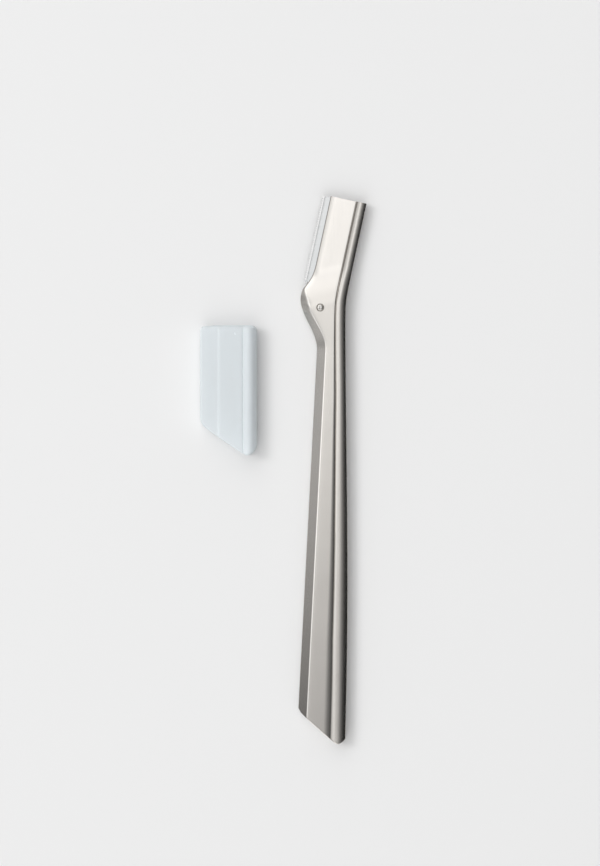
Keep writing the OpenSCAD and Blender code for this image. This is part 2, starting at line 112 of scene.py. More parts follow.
def apply_modifiers(piece):
    """Bakes the modifiers into the piece's mesh."""
    shaped = piece.evaluated_get(bpy.context.evaluated_depsgraph_get())
    mesh = bpy.data.meshes.new_from_object(shaped)
    piece.modifiers.clear()
    piece.data = mesh


print("pivot at", [round(v / MM, 3) for v in PIVOT], "mm")


# %% [markdown]
# Colours are written as sRGB hex values, the way a colour picker shows them, and one
# function turns them into the linear values that the shaders work with. One small function
# adds a shader node with its settings and its links.

# %% Colour and node helpers
def linear(hex_colour):
    """Linear red, green, blue and alpha from a hex value, by the sRGB standard's curve."""
    parts = [int(hex_colour[i:i + 2], 16) / 255 for i in (1, 3, 5)]
    parts = [p / 12.92 if p <= 0.04045 else ((p + 0.055) / 1.055) ** 2.4 for p in parts]
    return (*parts, 1.0)


def add(material, kind, settings=None, links=None):
    """Adds a node; settings are attributes or input values, links are inputs to join."""
    node = material.node_tree.nodes.new(kind)
    for key, value in (settings or {}).items():
        if isinstance(key, str) and hasattr(node, key):
            setattr(node, key, value)
        else:
            node.inputs[key].default_value = value
    for key, source in (links or {}).items():
        material.node_tree.links.new(source, node.inputs[key])
    return node


def new_material(title):
    material = bpy.data.materials.new(title)
    material.use_nodes = True
    material.node_tree.nodes.clear()
    return material


def close(material, shader):
    add(material, "ShaderNodeOutputMaterial", links={"Surface": shader})
    return material


print("a mid grey, #808080, is", round(linear("#808080")[0], 3), "in linear light")


# %% [markdown]
# The halves are stamped from stainless sheet and tumbled, then polished along their length.
# That leaves a bright satin: the reflections stay readable, with a faint grain that runs
# from tail to head and slow waves where the sheet was pressed. An image texture could hold
# that grain, but noise stretched along the handle needs no unwrapping and is sharp at any
# size. A metal keeps the default IOR, and its colour is a slightly warm grey. The rivet,
# the small turned parts and the etched guard are the same steel with another finish, so
# one function makes all four.

# %% Stainless steel
GRAIN_STRETCH = 0.03
WAVE_MM = 9
ROUGH_SPREAD, WORN_SMOOTHING = 0.15, 0.4
# The dark colour that paints shade into the creases and onto the bevel
PAINTED_SHADE_TONE = "#4E4A46"


def steel(title, tone, dark_tone, painted_sheen_tone, roughness, grain_mm, grain_depth_mm,
          wave_depth_mm=0.0):
    m = new_material(title)
    place = add(m, "ShaderNodeTexCoord")
    # The grain is drawn coarser than the real polish, so that it shows at this size
    across = 1 / (grain_mm * MM)
    stretch = add(m, "ShaderNodeMapping", {"Scale": (across, GRAIN_STRETCH * across, across)},
                  {"Vector": place.outputs["Object"]})
    grain = add(m, "ShaderNodeTexNoise", {"Scale": 1.0, "Detail": 3.0},
                {"Vector": stretch.outputs["Vector"]})
    cloud = add(m, "ShaderNodeTexNoise", {"Scale": 1 / (WAVE_MM * MM), "Detail": 2.0},
                {"Vector": place.outputs["Object"]})
    tint = add(m, "ShaderNodeMixRGB", {"Color1": linear(tone), "Color2": linear(dark_tone)},
               {"Fac": cloud.outputs["Fac"]})
    # Bends, cut edges and the head plate are rubbed smoother, and a lighter colour paints a
    # highlight on them; the mesh carries where
    wear_and_sheen = add(m, "ShaderNodeAttribute", {"attribute_name": "wear_and_sheen"})
    bright = add(m, "ShaderNodeMixRGB", {"Color2": linear(painted_sheen_tone)},
                 {"Fac": wear_and_sheen.outputs["Fac"], "Color1": tint.outputs["Color"]})
    # A dark colour paints shade into the groove, along the plate's edge and onto the bevel; the
    # mesh carries where
    painted_shade = add(m, "ShaderNodeAttribute", {"attribute_name": "painted_shade"})
    shaded = add(m, "ShaderNodeMixRGB", {"Color2": linear(PAINTED_SHADE_TONE)},
                 {"Fac": painted_shade.outputs["Fac"], "Color1": bright.outputs["Color"]})
    rough = add(m, "ShaderNodeMapRange", {"To Min": roughness * (1 - ROUGH_SPREAD),
                                          "To Max": roughness * (1 + ROUGH_SPREAD)},
                {"Value": grain.outputs["Fac"]})
    rubbed = add(m, "ShaderNodeMath",
                 {"operation": "MULTIPLY_ADD", 1: -roughness * WORN_SMOOTHING},
                 {0: wear_and_sheen.outputs["Fac"], 2: rough.outputs["Result"]})
    waves = add(m, "ShaderNodeBump", {"Strength": 1.0, "Distance": wave_depth_mm * MM},
                {"Height": cloud.outputs["Fac"]})
    bump = add(m, "ShaderNodeBump", {"Strength": 1.0, "Distance": grain_depth_mm * MM},
               {"Height": grain.outputs["Fac"], "Normal": waves.outputs["Normal"]})
    body = add(m, "ShaderNodeBsdfPrincipled", {"Metallic": 1.0},
               {"Base Color": shaded.outputs["Color"], "Roughness": rubbed.outputs[0],
                "Normal": bump.outputs["Normal"]})
    return close(m, body.outputs["BSDF"])


# The sheet: readable, soft reflections, with a fine grain and slow waves
shell_steel = steel("satin_stainless_steel", "#D6D2CD", "#CCC8C3", "#F2EFEB",
                    roughness=0.24, grain_mm=0.12, grain_depth_mm=0.0012, wave_depth_mm=0.01)
# The rivet and the studs: nearly mirror bright, so that the dome draws a crisp ring
rivet_steel = steel("polished_stainless_rivet", "#DAD7D3", "#D2CFCB", "#F2EFEB",
                    roughness=0.14, grain_mm=0.1, grain_depth_mm=0.0006)
# The bush and the washer: left as they came off the lathe, darker and duller
inner_steel = steel("turned_stainless_steel", "#A9A8A4", "#8F8E8A", "#C5C4C0",
                    roughness=0.38, grain_mm=0.1, grain_depth_mm=0.002)
# The guard: acid leaves a fine, frosty surface that looks whiter than polished sheet
guard_steel = steel("etched_stainless_foil", "#EEEEEE", "#DDDDDC", "#F4F4F4",
                    roughness=0.3, grain_mm=0.08, grain_depth_mm=0.002)
print("steels:", [m.name for m in (shell_steel, rivet_steel, inner_steel, guard_steel)])

# %% [markdown]
# The blade is hard stainless strip, ground flat and then ground again to the edge. The
# wheel leaves fine, even scratches that run slantwise across the strip. Noise stretched
# along the scratches and turned by 35 degrees draws them, in the colour, in the roughness
# and as a slight relief, so that the blade glitters less evenly than the sheet beside it.

# %% Ground blade steel
SCRATCH_MM, SCRATCH_L_MM, SCRATCH_TURN = 1 / 7, 2.5, math.radians(35)


def ground_steel():
    m = new_material("ground_blade_steel")
    place = add(m, "ShaderNodeTexCoord")
    # Scratches every 0.15 mm or so: the real ones are finer and would not show
    scale = (1 / (SCRATCH_L_MM * MM), 1 / (SCRATCH_MM * MM), 1 / MM)
    slant = add(m, "ShaderNodeMapping", {"Rotation": (0, 0, SCRATCH_TURN), "Scale": scale},
                {"Vector": place.outputs["Object"]})
    scratch = add(m, "ShaderNodeTexNoise", {"Scale": 1.0, "Detail": 4.0, "Roughness": 0.6},
                  {"Vector": slant.outputs["Vector"]})
    tint = add(m, "ShaderNodeMixRGB", {"Color1": linear("#B9BBBC"), "Color2": linear("#D9DADA")},
               {"Fac": scratch.outputs["Fac"]})
    rough = add(m, "ShaderNodeMapRange", {"To Min": 0.16, "To Max": 0.3},
                {"Value": scratch.outputs["Fac"]})
    bump = add(m, "ShaderNodeBump", {"Strength": 1.0, "Distance": 0.002 * MM},
               {"Height": scratch.outputs["Fac"]})
    body = add(m, "ShaderNodeBsdfPrincipled", {"Metallic": 1.0},
               {"Base Color": tint.outputs["Color"], "Roughness": rough.outputs["Result"],
                "Normal": bump.outputs["Normal"]})
    return close(m, body.outputs["BSDF"])


blade_steel = ground_steel()
print("blade finish:", blade_steel.name)

# %% [markdown]
# Each half is a stamped tray. Across it run an upright rim, a bevel on the blade side, a
# flat plateau, a soft shoulder down into a groove, and a rolled bead along the spine. Along
# it, the plateau and the bevel sink to a thin flat plate at the head. A loft fits this:
# one function gives the section at any place y, and rings of such sections are skinned.

# %% Sizes of the halves, in millimetres
HANDLE_L = 92.0
HALF_T = 1.685
PARTING_GAP = 0.03
SHEET_T = 0.5
BLADE_T = 0.25
FIT = 0.02
DROP = BLADE_T + FIT
SPINE_X = 5.3
SPINE_BOW = 0.5
BEAD_W, BEAD_TAIL_W = 2.1, 3.15
BEAD_GROW_FROM, BEAD_GROW_TO = 0.2, 0.76
HEAD_BEAD_H = 1.05
PLATE_W = 5.7
BEVEL_W, LOBE_BEVEL_W = 1.85, 1.6
BEND_RUN, LOBE_BEND_RUN = 0.3, 0.7
PILLOW_D, PILLOW_L = 0.045, 0.45
LOBE_FADE_L = 6.0
RIM_H = 0.3
GROOVE_D, GROOVE_TAIL_D, HEAD_GROOVE_D = 0.22, 0.35, 0.12
WAIST_Y, WAIST_X = 9.0, 0.7
TAIL_X = 5.0
LOBE = (4.17, 1.8)
TIP = (3.6, 4.1)
FLARE_Y, FLARE_BOW = 9.5, 2.5
BEND_Y, BEND_SOFT = 1.4, 2.0
BEVEL_FADE_Y, BEVEL_END_Y = 1.2, 4.9
RAMP_FOOT_Y, RAMP_TOP_Y = -0.4, 8.4
RAMP_SKEW, RAMP_X = 0.25, -1.0
SHOULDER_W, SHOULDER_TAIL_W = 0.35, 1.7
BEAD_FOOT_W, HEAD_BEAD_FOOT_W = 0.12, 0.2
CROWN_HEAD_TILT, CROWN_TILT, CROWN_TAIL_TILT = (math.radians(d) for d in (36, 42, 43))
HEAD_CROWN_DIP, CROWN_DIP_SHARE, CROWN_TAIL_DIP_SHARE = 0.09, 0.25, 0.85
SPINE_CORNER_R = 0.12
TAIL_TIP_X, TAIL_TIP_R, TAIL_BACK_RISE, TAIL_BLEND_L = 3.62, 0.5, 1.0, 22.0
TAIL_SLOPE = math.tan(math.radians(42))
TAIL_CORNER_W, TAIL_CORNER_RISE = 0.8, 0.45
TAIL_EDGE_R = 0.16
MARGIN_W, MARGIN_SLOPE = 1.05, math.tan(math.radians(6.5))
PLATE_EDGE_R = 0.22
LEAN = math.tan(HEAD_TILT)
BLADE_TIP_V, BLADE_L, END_INSET = 4.8, 18.4, 0.3
BLADE_END_V = BLADE_TIP_V + BLADE_L
HEAD_L = BLADE_END_V + END_INSET
HEAD_END_Y = HEAD_L / math.cos(HEAD_TILT)
EDGE_R = 0.08
RIVET_D, DOME_D, DOME_H, HOLE_GAP = 1.6, 1.25, 0.15, 0.03
print("head plate ends", round(HEAD_END_Y, 2), "mm from the pivot")


# %% [markdown]
# Seen from above, the outline is what makes this razor: a straight spine that bends once
# near the pivot, a handle that is widest at the tail, a waist, a rounded lobe beside the
# pivot, and a flare that runs out into the narrow head. It could be traced as one spline.
# Here each edge is a small function of y instead, because the section needs the edge at
# any height, and because a changed size then moves everything that hangs on it.

# %% Outline of the halves
def turn_in(y):
    return LEAN * (y - BEND_Y + math.hypot(y - BEND_Y, BEND_SOFT)) / 2


def spine_edge(y):
    along = min(1, max(0, -y / HANDLE_L))
    return SPINE_X + SPINE_BOW * math.sin(math.pi * along ** 1.5) + turn_in(y)


def bead_width(y):
    share = (-y / HANDLE_L - BEAD_GROW_FROM) / (BEAD_GROW_TO - BEAD_GROW_FROM)
    return mix(BEAD_W, BEAD_TAIL_W, min(1, max(0, share)))


def plate_line(y):
    return SPINE_X - BEAD_W - PLATE_W / math.cos(HEAD_TILT) + turn_in(y)


def left_edge(y):
    """Blade-side edge: plate, flare, lobe beside the pivot, neck and tapered handle."""
    if y > FLARE_Y:
        return plate_line(y)
    if y > TIP[1]:
        reach = plate_line(TIP[1]) + TIP[0]
        return plate_line(y) - reach * ((FLARE_Y - y) / (FLARE_Y - TIP[1])) ** FLARE_BOW
    if y > LOBE[1]:
        return -LOBE[0] + (LOBE[0] - TIP[0]) * ((y - LOBE[1]) / (TIP[1] - LOBE[1])) ** 2
    handle = mix(WAIST_X, TAIL_X, (-y - WAIST_Y) / (HANDLE_L - WAIST_Y))
    return -mix(handle, LOBE[0], smooth((y + WAIST_Y) / (LOBE[1] + WAIST_Y)))


def at_lobe(y):
    """1 beside the pivot, 0 from the neck down: the bevel is narrower and rounder there."""
    return smooth((y + LOBE_FADE_L) / LOBE_FADE_L)


def bevel_share(y):
    """1 where the bevel has its full width, 0 on the head plate."""
    return smooth((BEVEL_END_Y - y) / (BEVEL_END_Y - BEVEL_FADE_Y))


def ramp(x, y):
    """1 where the plateau is at the handle's full height, 0 on the head plate; it runs askew."""
    share = (RAMP_TOP_Y - y + RAMP_SKEW * (x - RAMP_X)) / (RAMP_TOP_Y - RAMP_FOOT_Y)
    share = min(1, max(0, share))
    return share ** 3 * (10 - 15 * share + 6 * share * share)


for title, y in (("tail", -HANDLE_L), ("waist", -WAIST_Y), ("lobe", LOBE[1]), ("head", HEAD_END_Y)):
    print(title, "is", round(spine_edge(y) - left_edge(y), 2), "mm wide")


# %% [markdown]
# The section is a chain of corners, and pressing sheet rounds every one of them. Each
# corner is drawn as a short curve, so the bend lines catch the light as they do on steel.

# %% Rounded corners
def rounded(before, corner, after, run, steps):
    """A corner as a curve that leaves each side at most run from the corner."""
    a, c, b = Vector(before), Vector(corner), Vector(after)
    most = 0.49  # just under half a side, so that two corners of one side never meet
    a = c + (a - c).normalized() * min(run, (a - c).length * most)
    b = c + (b - c).normalized() * min(run, (b - c).length * most)
    return [((1 - t) ** 2) * a + 2 * t * (1 - t) * c + t * t * b
            for t in (i / steps for i in range(steps + 1))]


print("a corner rounded in four steps has", len(rounded((0, 0), (0, 1), (1, 1), 0.2, 4)), "points")

# %% [markdown]
# Heights run along the handle as the outline does. The plateau goes down the ramp to the
# head plate, the groove deepens toward the tail, and the bead's crown is an arc. On the
# head the crown is nearly level with its foot, and toward the tail it comes down into the
# groove, so that the bead looks rounder there.

# %% Heights along a half
def shoulder_width(y):
    return mix(SHOULDER_W, SHOULDER_TAIL_W, min(1, max(0, -y / HANDLE_L)))


def plateau_height(x, y, drop):
    return mix(drop + SHEET_T, HALF_T, ramp(x, y))


def groove_depth(y):
    return mix(GROOVE_D, GROOVE_TAIL_D, min(1, max(0, -y / HANDLE_L)))


def groove_at(y, drop):
    """Place and height of the groove's bottom."""
    x = spine_edge(y) - bead_width(y)
    return x, plateau_height(x, y, drop) - mix(HEAD_GROOVE_D, groove_depth(y), ramp(x, y))


def bead_height(y, drop):
    return mix(HEAD_BEAD_H + drop / 2, HALF_T, ramp(SPINE_X, y))


def crown(y, drop, shares):
    """Points along the bead's crown: an arc that ends tilted where the spine wall starts."""
    on_handle = ramp(SPINE_X, y)
    along = min(1, max(0, -y / HANDLE_L))
    end = mix(CROWN_HEAD_TILT, mix(CROWN_TILT, CROWN_TAIL_TILT, along), on_handle)
    width = bead_width(y) - mix(HEAD_BEAD_FOOT_W, BEAD_FOOT_W, on_handle)
    dip = mix(CROWN_DIP_SHARE, CROWN_TAIL_DIP_SHARE, along ** 2) * groove_depth(y)
    k = mix(HEAD_CROWN_DIP, dip, on_handle) / width
    start = math.atan(k) + math.acos((1 - k * math.sin(end)) / math.hypot(1, k))
    radius = width / (math.sin(start) + math.sin(end))
    return [Vector((spine_edge(y) + radius * (math.sin(a) - math.sin(end)),
                    bead_height(y, drop) - radius * (1 - math.cos(a))))
            for a in (mix(-start, end, share) for share in shares)]


for title, y in (("waist", -WAIST_Y), ("head", HEAD_END_Y)):
    print("the sheet at the", title, "stands", round(plateau_height(0, y, 0), 2), "mm high")

# %% [markdown]
# The outer section runs from the blade side to the spine side: foot, rim, bevel, bend,
# plateau, shoulder, bead and spine wall. The shoulder is an arc that steepens into the
# groove, which leaves the thin dark line beside the bead.

# %% Outer section
BEVEL_SHARES = (0.15, 0.3, 0.5)
FLAT_SHARES = (0.05, 0.1, 0.16, 0.22, 0.28, 0.36, 0.46, 0.6, 0.75, 0.9)
RIM_STEPS, BEND_STEPS, SHOULDER_STEPS, BEAD_STEPS, WALL_STEPS = 4, 8, 8, 26, 5
RIM_R, MARGIN_SOFT = 0.12, 0.25


def outer_section(y, drop):
    level = bevel_share(y)
    left, right = left_edge(y), spine_edge(y)
    foot = drop * (1 - level)
    rim = mix(plateau_height(left, y, drop) - PLATE_EDGE_R, RIM_H, level)
    bend = left + mix(PLATE_EDGE_R, mix(BEVEL_W, LOBE_BEVEL_W, at_lobe(y)), level)
    groove_x, groove_h = groove_at(y, drop)
    shoulder = shoulder_width(y)

    def flat(x):
        """Height of the plateau: it falls a little toward the bend, and on the head its
        margin slopes to the free edge."""
        reach = MARGIN_W - (x - left)
        soft = (reach + math.hypot(reach, MARGIN_SOFT)) / 2
        pillow = PILLOW_D * math.exp((bend - x) / PILLOW_L)
        return plateau_height(x, y, drop) - mix(MARGIN_SLOPE * soft, pillow, level)

    bead = crown(y, drop, [i / BEAD_STEPS for i in range(BEAD_STEPS + 1)])
    wall = rounded(bead[-2], bead[-1], (right, 0), SPINE_CORNER_R, WALL_STEPS)
    foot_p, rim_p, bend_p = (left, foot), (left, rim), (bend, flat(bend))
    shoulder_x = groove_x - shoulder
    bevel_run = mix(EDGE_R, mix(BEND_RUN, LOBE_BEND_RUN, at_lobe(y)), level)
    plateau = [Vector((x, flat(x))) for x in
               (mix(bend + bevel_run, shoulder_x, share) for share in FLAT_SHARES)]
    arc_top = flat(shoulder_x)
    arc = [Vector((mix(shoulder_x, groove_x, t), arc_top - (arc_top - groove_h) * t * t))
           for t in (i / SHOULDER_STEPS for i in range(SHOULDER_STEPS + 1))]
    bevel_mid = [Vector(rim_p).lerp(Vector(bend_p), share) for share in BEVEL_SHARES]
    return ([Vector(foot_p) + Vector((EDGE_R / 2, 0)), Vector(foot_p) + Vector((0, EDGE_R / 2))]
            + rounded(foot_p, rim_p, bend_p, RIM_R, RIM_STEPS)
            + bevel_mid
            + rounded(rim_p, bend_p, plateau[0], bevel_run, BEND_STEPS)
            + plateau + arc + bead[:-1] + wall
            + [Vector((right, EDGE_R / 2)), Vector((right - EDGE_R / 2, 0))])


OUTSIDE_N = len(outer_section(-20, 0))
# Where the rim, the middle of the bend and the groove's bottom come in the chain of points
RIM_I = 2
BEND_I = RIM_I + RIM_STEPS + 1 + len(BEVEL_SHARES) + BEND_STEPS // 2
GROOVE_I = BEND_I + BEND_STEPS // 2 + len(FLAT_SHARES) + SHOULDER_STEPS + 1
print("points outside:", OUTSIDE_N, "with the bend at", BEND_I, "and the groove at", GROOVE_I)

# %% [markdown]
# The inner face follows one sheet thickness inside, and never comes below the foot: on the
# head, where the plate is one sheet thick, it is flat. It is hidden when the razor is
# closed, so it has few points.

# %% Inner section
INNER_STEPS = 9
INNER_BEND_SHARE = 0.36
RIM_FACE_RUN, INNER_RIM_H = 0.04, 0.06


def inner_section(y, drop):
    level = bevel_share(y)
    left, right = left_edge(y), spine_edge(y)
    foot = drop * (1 - level)
    bend = left + mix(PLATE_EDGE_R + SHEET_T, BEVEL_W + SHEET_T * INNER_BEND_SHARE, level)
    groove_x, groove_h = groove_at(y, drop)
    shoulder_x = groove_x - shoulder_width(y)
    near, middle, far = ((x, max(foot, plateau_height(x, y, drop) - SHEET_T))
                         for x in (bend, (bend + shoulder_x) / 2, shoulder_x))
    low = max(foot, groove_h - SHEET_T)
    shares = [i / INNER_STEPS for i in range(INNER_STEPS + 1)]
    inset = mix(SHEET_T, BEAD_FOOT_W, ramp(SPINE_X, y))
    bead = [Vector((mix(groove_x + inset, right - SHEET_T, share), max(foot, p.y - SHEET_T)))
            for share, p in zip(shares, crown(y, drop, shares))]
    rim_top = max(foot, mix(near[1], INNER_RIM_H, level))
    return ([Vector((left + SHEET_T, foot)), Vector((left + SHEET_T + RIM_FACE_RUN, rim_top)),
             Vector(near), Vector(middle), Vector(far), Vector((groove_x, low))]
            + bead + [Vector((right - SHEET_T, 0))])


INSIDE_N = len(inner_section(-20, 0))
print("points inside:", INSIDE_N)


# %% [markdown]
# A ring of the loft isn't always square to the handle. At the tail it turns along the
# slanted cut, and at the end of the head it turns square to the leaning axis, so both ends
# are clean rows of points. The last rings at the tail shrink round a small radius, like a
# tumbled edge, and the inside is filled there down to the parting plane: it is the wall
# that closes the tail.

# %% Rings of the loft
RING_ROUNDS = 3
CUT_LEFT_X = left_edge(-HANDLE_L + TAIL_SLOPE * (TAIL_TIP_X + TAIL_X))


def tail_line(x):
    if x > TAIL_TIP_X:
        return TAIL_BACK_RISE * ((x - TAIL_TIP_X) / (SPINE_X - TAIL_TIP_X)) ** 2
    corner = max(0, 1 - (x - CUT_LEFT_X) / TAIL_CORNER_W)
    return (TAIL_SLOPE * (math.hypot(TAIL_TIP_X - x, TAIL_TIP_R) - TAIL_TIP_R)
            + TAIL_CORNER_RISE * corner ** 2)


def ring_y(y, x):
    at_tail = smooth((-y - HANDLE_L + TAIL_BLEND_L) / TAIL_BLEND_L)
    at_head = smooth((y - FLARE_Y) / (HEAD_END_Y - FLARE_Y))
    return y + at_tail * tail_line(x) - at_head * LEAN * x


def spread(low, high, step):
    count = max(1, round((high - low) / step))
    return [mix(low, high, i / count) for i in range(count)]


def ring(section, y, drop):
    """One ring: each point's place is worked out again at the y that it ends up at."""
    at = [y] * len(section(y, drop))
    for _ in range(RING_ROUNDS):
        at = [ring_y(y, section(a, drop)[i].x) for i, a in enumerate(at)]
    points = [section(a, drop)[i] for i, a in enumerate(at)]
    return [(p.x, a, p.y) for p, a in zip(points, at)]


def shrunk(points, by):
    """The ring's outside moved inward by a small step, for the rounded tail edge."""
    out = []
    for i, (x, y, z) in enumerate(points):
        before, after = points[max(0, i - 1)], points[min(len(points) - 1, i + 1)]
        way = Vector((after[0] - before[0], after[2] - before[2])).normalized()
        out.append((x + way.y * by, y, max(0.0, z - way.x * by) if z > 0 else z))
    return out


TAIL_WALL = SHEET_T / math.cos(math.atan(TAIL_SLOPE))
ROUND_STEPS = 5
TAIL_ROUND = [(TAIL_EDGE_R * (1 - math.cos(a)), TAIL_EDGE_R * (1 - math.sin(a)))
              for a in (math.pi / 2 * i / ROUND_STEPS for i in range(ROUND_STEPS + 1))]
# The tail is cut aslant, so its rounding runs that much farther along y than it is deep
ROUND_RUN = 1 / math.cos(math.atan(TAIL_SLOPE))
# A hair shorter than the handle, because the facets of the CAD's tail cut its round tip
TAIL_TRIM = 0.013
WALL_RUN = 0.05
TAIL_ZONE_Y, NECK_ZONE_Y = -70, -WAIST_Y - 2
# Rings stand close together where the shape changes fast: (from, to, step)
ZONES = ((-HANDLE_L + TAIL_WALL + WALL_RUN, TAIL_ZONE_Y, 1.2), (TAIL_ZONE_Y, NECK_ZONE_Y, 2.4),
         (NECK_ZONE_Y, RAMP_FOOT_Y, 0.45), (RAMP_FOOT_Y, FLARE_Y, 0.28), (FLARE_Y, HEAD_END_Y, 1.5))
STATIONS = [(-HANDLE_L + TAIL_TRIM + way * ROUND_RUN, by) for way, by in TAIL_ROUND]
STATIONS += [(-HANDLE_L + TAIL_WALL, 0.0)]
STATIONS += [(y, 0.0) for zone in ZONES for y in spread(*zone)] + [(HEAD_END_Y, 0.0)]
print("rings along a half:", len(STATIONS))

# %% [markdown]
# Skinning joins each ring to the next with a strip of four-sided faces, and closes both
# ends. While the points are at hand, two values are written on each. The first paints a
# highlight in a lighter colour on the bend and the tail's edge, and paints the head plate a
# little lighter; there the steel is also a little smoother. The second paints shade in a
# dark colour into the groove and along the plate's edge on the head, and onto the bevel,
# more toward the tail. The steel's shader reads both.

# %% Skin of a half
# How dark the painted shade is in the groove, on the plate's edge and on the bevel, and how much
# the head plate is painted lighter
CREASE_SHADE, EDGE_SHADE, BEVEL_SHADE, HEAD_SHEEN_AND_WEAR = 0.5, 0.35, 0.67, 0.25
# Reaches are counted in points across the section, or in rings along the handle
WEAR_SHEEN_REACH = 2.5
TAIL_WEAR_SHEEN_RING, TAIL_WEAR_SHEEN_REACH = 2, 3
CREASE_REACH_LEFT, CREASE_REACH_RIGHT = 3, 8


def half_shell(name, drop, side):
    """side is 1 for the front half and -1 for the back half, its mirror below the plane."""
    rings = []
    for k, (y, by) in enumerate(STATIONS):
        outside = ring(outer_section, y, drop)
        if by:
            outside = shrunk(outside, by)
        inside = ring(inner_section, y, drop)
        if y <= -HANDLE_L + TAIL_WALL:
            inside = [(x, at, 0.0) for x, at, _ in inside]
        rings.append(outside + inside[::-1])
    n = OUTSIDE_N + INSIDE_N
    points = [(x, y, side * (z + PARTING_GAP / 2)) for r in rings for x, y, z in r]
    faces = [(k * n + i, k * n + (i + 1) % n, (k + 1) * n + (i + 1) % n, (k + 1) * n + i)
             for k in range(len(rings) - 1) for i in range(n)]
    for k in (0, len(rings) - 1):
        for i in range(OUTSIDE_N - 1):
            j = n - 1 - round(i / (OUTSIDE_N - 1) * (INSIDE_N - 1))
            j_next = n - 1 - round((i + 1) / (OUTSIDE_N - 1) * (INSIDE_N - 1))
            corners = [i, i + 1, j_next] + ([j] if j != j_next else [])
            faces.append(tuple(k * n + c for c in corners))
    piece = show(name, points, faces)
    wear_and_sheen = piece.data.attributes.new("wear_and_sheen", "FLOAT", "POINT")
    painted_shade = piece.data.attributes.new("painted_shade", "FLOAT", "POINT")
    for k, (y, _) in enumerate(STATIONS):
        for i in range(OUTSIDE_N):
            x, at = points[k * n + i][:2]
            at_head = 1 - ramp(x, at)
            # Painted highlight on the bend and the tail's edge, and a painted lighter head plate;
            # the same value makes them smoother
            share = max(0.0, 1 - abs(i - BEND_I) / WEAR_SHEEN_REACH) * bevel_share(y)
            if k <= ROUND_STEPS:
                share = max(share, 1 - abs(k - TAIL_WEAR_SHEEN_RING) / TAIL_WEAR_SHEEN_REACH)
            if BEND_I + BEND_STEPS // 2 < i < GROOVE_I:
                share = max(share, HEAD_SHEEN_AND_WEAR * at_head)
            wear_and_sheen.data[k * n + i].value = share
            # Painted shade: darker in the groove and on the plate's edge on the head, and on the
            # bevel toward the tail
            on_rim = RIM_I <= i < BEND_I
            if i <= GROOVE_I:
                in_crease = 1 - (GROOVE_I - i) / CREASE_REACH_LEFT
            else:
                in_crease = 1 - (i - GROOVE_I - 1) / CREASE_REACH_RIGHT
            crease = max(0.0, in_crease * CREASE_SHADE, EDGE_SHADE * on_rim)
            bevel = BEVEL_SHADE * min(1, max(0, -at / HANDLE_L)) ** 2 * on_rim
            painted_shade.data[k * n + i].value = mix(bevel, crease, at_head)
    return piece


front = half_shell("front_half_sheet", 0.0, 1)
back = half_shell("back_half_sheet", DROP, -1)
print("faces in one half:", len(front.data.polygons))


# %% [markdown]
# The rivet's hole is cut right through each half. A boolean does what the punch does, and
# the edge it leaves is kept sharp, so that the hole has a crisp lip round the dark ring.

# %% Rivet holes
DRILL_N = 64
HOLE_R = RIVET_D / 2 + HOLE_GAP
FRONT_DRILL, BACK_DRILL = (-1, 3), (-3, 1)


def drill(piece, radius, depth_from, depth_to):
    """Cuts a round hole on the pivot's axis, between two heights above the parting plane."""
    points = []
    for z in (depth_from, depth_to):
        points += [(radius * math.cos(a), radius * math.sin(a), z)
                   for a in (2 * math.pi * i / DRILL_N for i in range(DRILL_N))]
    faces = [(i, (i + 1) % DRILL_N, DRILL_N + (i + 1) % DRILL_N, DRILL_N + i)
             for i in range(DRILL_N)]
    faces += [tuple(reversed(range(DRILL_N))), tuple(range(DRILL_N, 2 * DRILL_N))]
    tool = show("drill", points, faces)
    finish_mesh(tool)
    cut = piece.modifiers.new("hole", "BOOLEAN")
    cut.object = tool
    cut.operation = "DIFFERENCE"
    cut.solver = "EXACT"
    apply_modifiers(piece)
    bpy.data.objects.remove(tool)


for half, cad_name, body, depths in ((front, "front_shell", "front_half", FRONT_DRILL),
                                     (back, "back_shell", "back_half", BACK_DRILL)):
    finish_mesh(half)
    drill(half, HOLE_R, *depths)
    finish_mesh(half)
    half.data.materials.clear()
    half.data.materials.append(shell_steel)
    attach(half, body)
    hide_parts(cad_name)
    print(half.name, "takes the place of", cad_name)

# %% [markdown]
# The rivet is turned: a shank with a domed end that is spun over until it fills the hole,
# which leaves a narrow groove round it and a short mark of the tool in the middle. Turned
# pieces are drawn as half a profile, and the profile is swept round the axis. The groove's
# sloping seat is a turned piece of its own.

# %% Rivet
def turned(name, profile, steps=96):
    """Sweeps (radius, height) pairs round the pivot's axis; the ends lie on the axis."""
    points = [(0.0, 0.0, profile[0][1])]
    rings = profile[1:-1]
    for r, z in rings:
        points += [(r * math.cos(a), r * math.sin(a), z)
                   for a in (2 * math.pi * i / steps for i in range(steps))]
    points.append((0.0, 0.0, profile[-1][1]))
    last = len(points) - 1
    faces = [(0, 1 + (i + 1) % steps, 1 + i) for i in range(steps)]
    for k in range(len(rings) - 1):
        a, b = 1 + k * steps, 1 + (k + 1) * steps
        faces += [(a + i, a + (i + 1) % steps, b + (i + 1) % steps, b + i)
                  for i in range(steps)]
    a = 1 + (len(rings) - 1) * steps
    faces += [(a + i, a + (i + 1) % steps, last) for i in range(steps)]
    piece = show(name, points, faces)
    finish_mesh(piece)
    return piece


TOP = HALF_T + PARTING_GAP / 2
DOME_R, DOME_STEPS = DOME_D / 2, 16
# The shank widens a little below the dome; the depths are counted from the plateau
NECK_R, FOOT_R = DOME_R + 0.02, DOME_R + 0.03
NECK_D, BACK_NECK_D = 0.1, 0.12
SEAT_R, SEAT_D, SEAT_DIP = 0.68, 0.24, 0.04
LIP_W, LIP_D, LIP_END_D = 0.03, 0.12, 0.16
# The riveting tool's mark: how wide, long and deep it is pressed in, in millimetres
MARK_W, MARK_L, MARK_D = 0.09, 0.5, 0.07


